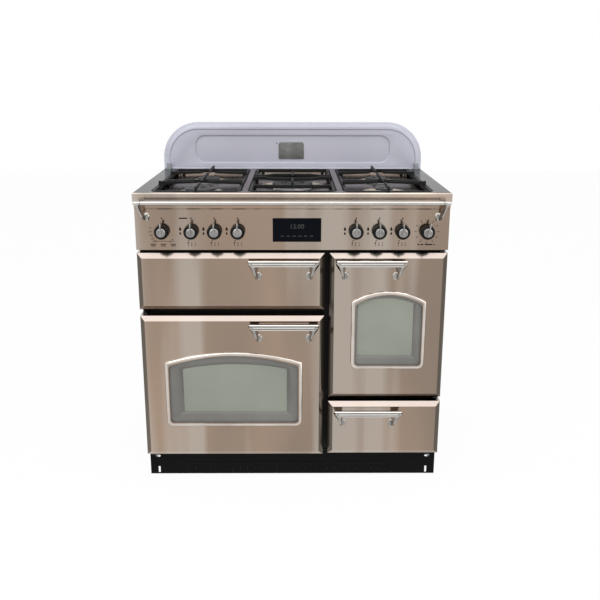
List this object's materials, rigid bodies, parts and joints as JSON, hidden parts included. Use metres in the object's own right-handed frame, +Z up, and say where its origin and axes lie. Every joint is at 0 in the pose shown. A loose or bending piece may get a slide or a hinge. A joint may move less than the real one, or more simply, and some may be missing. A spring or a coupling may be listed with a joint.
{
  "type": "range cooker with double oven",
  "caption": "Free-standing range cooker with a gas hob on cast pan supports, a grill compartment, two side-hung ovens with arched windows, a storage drawer, a control panel and a backguard.",
  "frame": {"origin": "middle of the footprint's bounding box, on the floor", "axes": "+X to the viewer's right, +Y from the front to the rear, +Z up"},
  "size_m": [0.9, 0.65, 1.059],
  "materials": {
    "stainless": "brushed",
    "enamelled_sides": "satin",
    "galvanised": "satin",
    "black_paint": "satin",
    "black_plastic": "gloss",
    "cast_iron": "matt enamel",
    "burner_alloy": "satin",
    "burner_enamel": "satin",
    "ceramic": "glazed",
    "enamel": "gloss",
    "chrome": "polished",
    "display_glass": "gloss",
    "brass": "satin",
    "pipe_alloy": "satin",
    "oven_enamel": "gloss",
    "seal": "woven",
    "element_steel": "satin",
    "glass": "gloss"
  },
  "bodies": {
    "cooker": {"base_tray": "galvanised", "plinth": "black_paint", "levelling_feet": "galvanised", "side_panels": "enamelled_sides", "front_frame": "enamelled_sides", "rear_panel": "galvanised", "cable_gland": "black_plastic", "hob_top": "stainless", "burner_bodies": "burner_alloy", "burner_caps": "burner_enamel", "spark_electrodes": "ceramic", "backguard": "enamel", "badge_plate": "chrome", "backguard_brackets": "galvanised", "control_panel": "stainless", "clock_display": "display_glass", "oven_switches": "galvanised", "gas_taps": "brass", "gas_pipes": "pipe_alloy", "towel_rail": "chrome", "grill_cavity": "oven_enamel", "main_oven_cavity": "oven_enamel", "side_oven_cavity": "oven_enamel", "door_seals": "seal", "door_hinges": "galvanised", "shelf_guides": "chrome", "oven_shelves": "chrome", "heating_elements": "element_steel", "grill_pan": "oven_enamel", "drawer_housing": "galvanised"},
    "grill_door": {"grill_door_panel": "stainless", "grill_door_liner": "galvanised", "grill_door_handle": "chrome"},
    "main_oven_door": {"main_door_panel": "stainless", "main_door_liner": "galvanised", "main_door_glass": "glass", "main_door_handle": "chrome"},
    "side_oven_door": {"side_door_panel": "stainless", "side_door_liner": "galvanised", "side_door_glass": "glass", "side_door_handle": "chrome"},
    "storage_drawer": {"drawer_front": "stainless", "drawer_box": "galvanised", "drawer_handle": "chrome"},
    "left_grate": {"pan_support_left": "cast_iron"},
    "centre_grate": {"pan_support_centre": "cast_iron"},
    "right_grate": {"pan_support_right": "cast_iron"},
    "tap_3": {"tap_spindle_3": "brass"},
    "gas_knob_3": {"knob_3": "black_plastic"},
    "tap_4": {"tap_spindle_4": "brass"},
    "gas_knob_4": {"knob_4": "black_plastic"},
    "tap_5": {"tap_spindle_5": "brass"},
    "gas_knob_5": {"knob_5": "black_plastic"},
    "tap_6": {"tap_spindle_6": "brass"},
    "gas_knob_6": {"knob_6": "black_plastic"},
    "tap_7": {"tap_spindle_7": "brass"},
    "gas_knob_7": {"knob_7": "black_plastic"},
    "oven_knob_1": {"knob_1": "black_plastic"},
    "oven_knob_2": {"knob_2": "black_plastic"},
    "oven_knob_8": {"knob_8": "black_plastic"}
  },
  "joints": [
    {"name": "grill_door_hinge", "type": "hinge", "parent": "cooker", "child": "grill_door", "pos_m": [-0.1765, -0.259, 0.572], "axis": [1, 0, 0], "range_deg": [0, 90]},
    {"name": "main_oven_door_hinge", "type": "hinge", "parent": "cooker", "child": "main_oven_door", "pos_m": [-0.432, -0.259, 0.3165], "axis": [0, 0, -1], "range_deg": [0, 100]},
    {"name": "side_oven_door_hinge", "type": "hinge", "parent": "cooker", "child": "side_oven_door", "pos_m": [0.432, -0.259, 0.505], "axis": [0, 0, 1], "range_deg": [0, 100]},
    {"name": "storage_drawer_slide", "type": "slide", "parent": "cooker", "child": "storage_drawer", "axis": [0, -1, 0], "range_m": [0, 0.4]},
    {"name": "left_grate_lift", "type": "slide", "parent": "cooker", "child": "left_grate", "axis": [0, 0, 1], "range_m": [0, 0.1]},
    {"name": "centre_grate_lift", "type": "slide", "parent": "cooker", "child": "centre_grate", "axis": [0, 0, 1], "range_m": [0, 0.1]},
    {"name": "right_grate_lift", "type": "slide", "parent": "cooker", "child": "right_grate", "axis": [0, 0, 1], "range_m": [0, 0.1]},
    {"name": "tap_3_push", "type": "slide", "parent": "cooker", "child": "tap_3", "axis": [0, 1, 0], "range_m": [0, 0.004], "stiffness_N_per_m": 1000, "springref_m": -0.003},
    {"name": "gas_knob_3_turn", "type": "hinge", "parent": "tap_3", "child": "gas_knob_3", "pos_m": [-0.221, -0.287, 0.79], "axis": [0, -1, 0], "range_deg": [0, 270]},
    {"name": "tap_4_push", "type": "slide", "parent": "cooker", "child": "tap_4", "axis": [0, 1, 0], "range_m": [0, 0.004], "stiffness_N_per_m": 1000, "springref_m": -0.003},
    {"name": "gas_knob_4_turn", "type": "hinge", "parent": "tap_4", "child": "gas_knob_4", "pos_m": [-0.155, -0.287, 0.79], "axis": [0, -1, 0], "range_deg": [0, 270]},
    {"name": "tap_5_push", "type": "slide", "parent": "cooker", "child": "tap_5", "axis": [0, 1, 0], "range_m": [0, 0.004], "stiffness_N_per_m": 1000, "springref_m": -0.003},
    {"name": "gas_knob_5_turn", "type": "hinge", "parent": "tap_5", "child": "gas_knob_5", "pos_m": [0.181, -0.287, 0.79], "axis": [0, -1, 0], "range_deg": [0, 270]},
    {"name": "tap_6_push", "type": "slide", "parent": "cooker", "child": "tap_6", "axis": [0, 1, 0], "range_m": [0, 0.004], "stiffness_N_per_m": 1000, "springref_m": -0.003},
    {"name": "gas_knob_6_turn", "type": "hinge", "parent": "tap_6", "child": "gas_knob_6", "pos_m": [0.247, -0.287, 0.79], "axis": [0, -1, 0], "range_deg": [0, 270]},
    {"name": "tap_7_push", "type": "slide", "parent": "cooker", "child": "tap_7", "axis": [0, 1, 0], "range_m": [0, 0.004], "stiffness_N_per_m": 1000, "springref_m": -0.003},
    {"name": "gas_knob_7_turn", "type": "hinge", "parent": "tap_7", "child": "gas_knob_7", "pos_m": [0.313, -0.287, 0.79], "axis": [0, -1, 0], "range_deg": [0, 270]},
    {"name": "oven_knob_1_turn", "type": "hinge", "parent": "cooker", "child": "oven_knob_1", "pos_m": [-0.37, -0.287, 0.79], "axis": [0, 1, 0], "range_deg": [0, 300]},
    {"name": "oven_knob_2_turn", "type": "hinge", "parent": "cooker", "child": "oven_knob_2", "pos_m": [-0.287, -0.287, 0.79], "axis": [0, 1, 0], "range_deg": [0, 300]},
    {"name": "oven_knob_8_turn", "type": "hinge", "parent": "cooker", "child": "oven_knob_8", "pos_m": [0.383, -0.287, 0.79], "axis": [0, 1, 0], "range_deg": [0, 300]}
  ]
}
